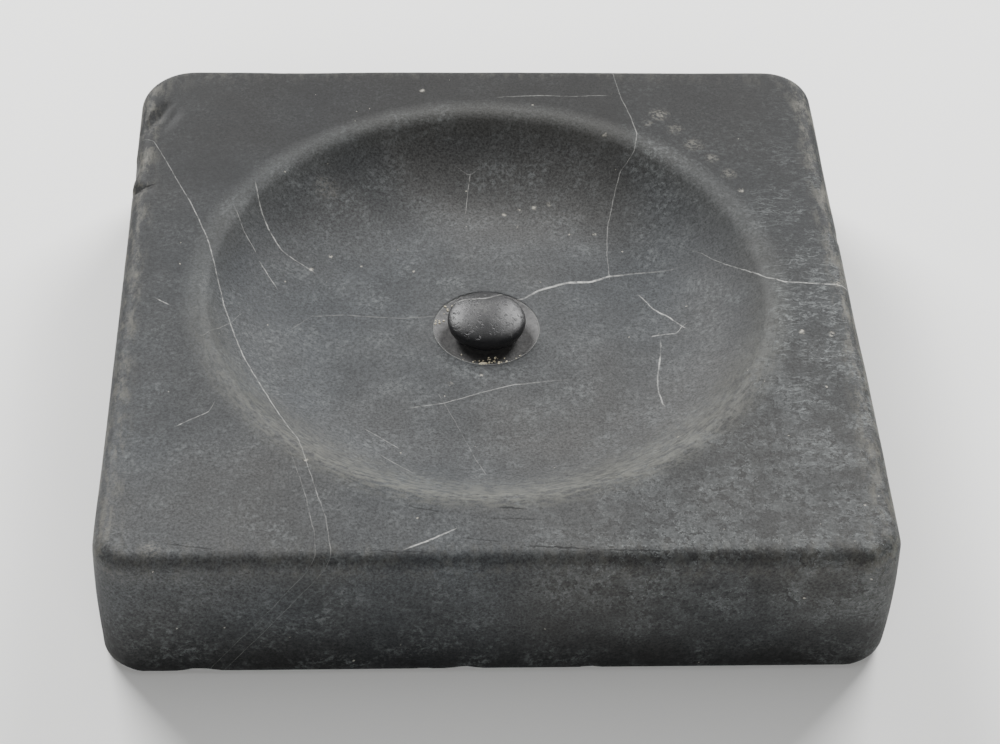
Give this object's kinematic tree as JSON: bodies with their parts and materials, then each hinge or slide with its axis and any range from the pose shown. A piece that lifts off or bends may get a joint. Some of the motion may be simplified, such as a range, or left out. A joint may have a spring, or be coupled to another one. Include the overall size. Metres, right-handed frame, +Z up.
{
  "type": "massage stone",
  "caption": "Square slab of dark honed stone with a round dish in its top and a domed massage knob at the middle of the dish.",
  "frame": {"origin": "middle of the flat base, on the surface that the stone rests on", "axes": "+Z up, out of the dish; +X to the right and -Y to the front, as a person using the stone sees it"},
  "size_m": [0.1, 0.1, 0.021],
  "materials": {
    "honed_basalt": "honed matt charcoal grey with white hairline veins and paler scuffs",
    "polished_basalt": "rubbed smooth, near black, soft gloss",
    "grit_bedding": "fine grey stone grit in a clear binder, matt, with pale grains"
  },
  "bodies": {
    "root": {"stone_block": "honed_basalt", "massage_knob": "polished_basalt", "bedding_ring": "grit_bedding"}
  },
  "joints": []
}
